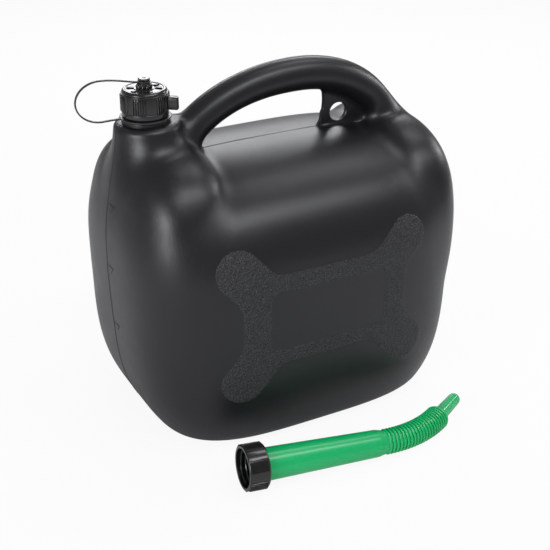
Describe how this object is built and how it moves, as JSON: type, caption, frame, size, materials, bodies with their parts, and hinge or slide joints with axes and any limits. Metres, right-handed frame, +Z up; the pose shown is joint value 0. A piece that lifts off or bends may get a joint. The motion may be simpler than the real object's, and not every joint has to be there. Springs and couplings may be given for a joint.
{
  "type": "fuel canister",
  "caption": "Black moulded fuel canister with arched handle, screw cap on a tether, and a green flexible pouring spout with its own screw ring.",
  "frame": {"origin": "middle of the flat base, on the floor", "axes": "X along the can from the neck end to the rear, Y from front to back, Z up"},
  "size_m": [0.3075, 0.2675, 0.2909],
  "materials": {
    "black_polyethylene": "satin",
    "black_cap": "glossy",
    "green_polyethylene": "glossy",
    "tether_grey": "satin",
    "seal_rubber": "matte"
  },
  "bodies": {
    "can": {"canister": "black_polyethylene", "pour_spout": "green_polyethylene", "spout_gasket": "seal_rubber"},
    "tether": {"tether": "tether_grey"},
    "button": {"tether_button": "black_cap"},
    "cap": {"screw_cap": "black_cap", "cap_gasket": "seal_rubber"},
    "spout_ring": {"spout_ring": "black_cap"}
  },
  "joints": [
    {"name": "tether_swivel", "type": "hinge", "parent": "can", "child": "tether", "pos_m": [-0.106, 0, 0.26], "axis": [0, 0, 1], "range_deg": [-110, 110]},
    {"name": "cap_lift", "type": "slide", "parent": "tether", "child": "button", "axis": [0, 0, 1], "range_m": [0, 0.04], "deforming": ["tether"]},
    {"name": "cap_turn", "type": "hinge", "parent": "button", "child": "cap", "pos_m": [-0.106, 0, 0.27], "axis": [0, 0, 1], "continuous": true},
    {"name": "ring_turn", "type": "hinge", "parent": "can", "child": "spout_ring", "pos_m": [-0.0965, -0.138, 0.01962], "axis": [0.9912, -0.1217, -0.0525], "continuous": true}
  ]
}
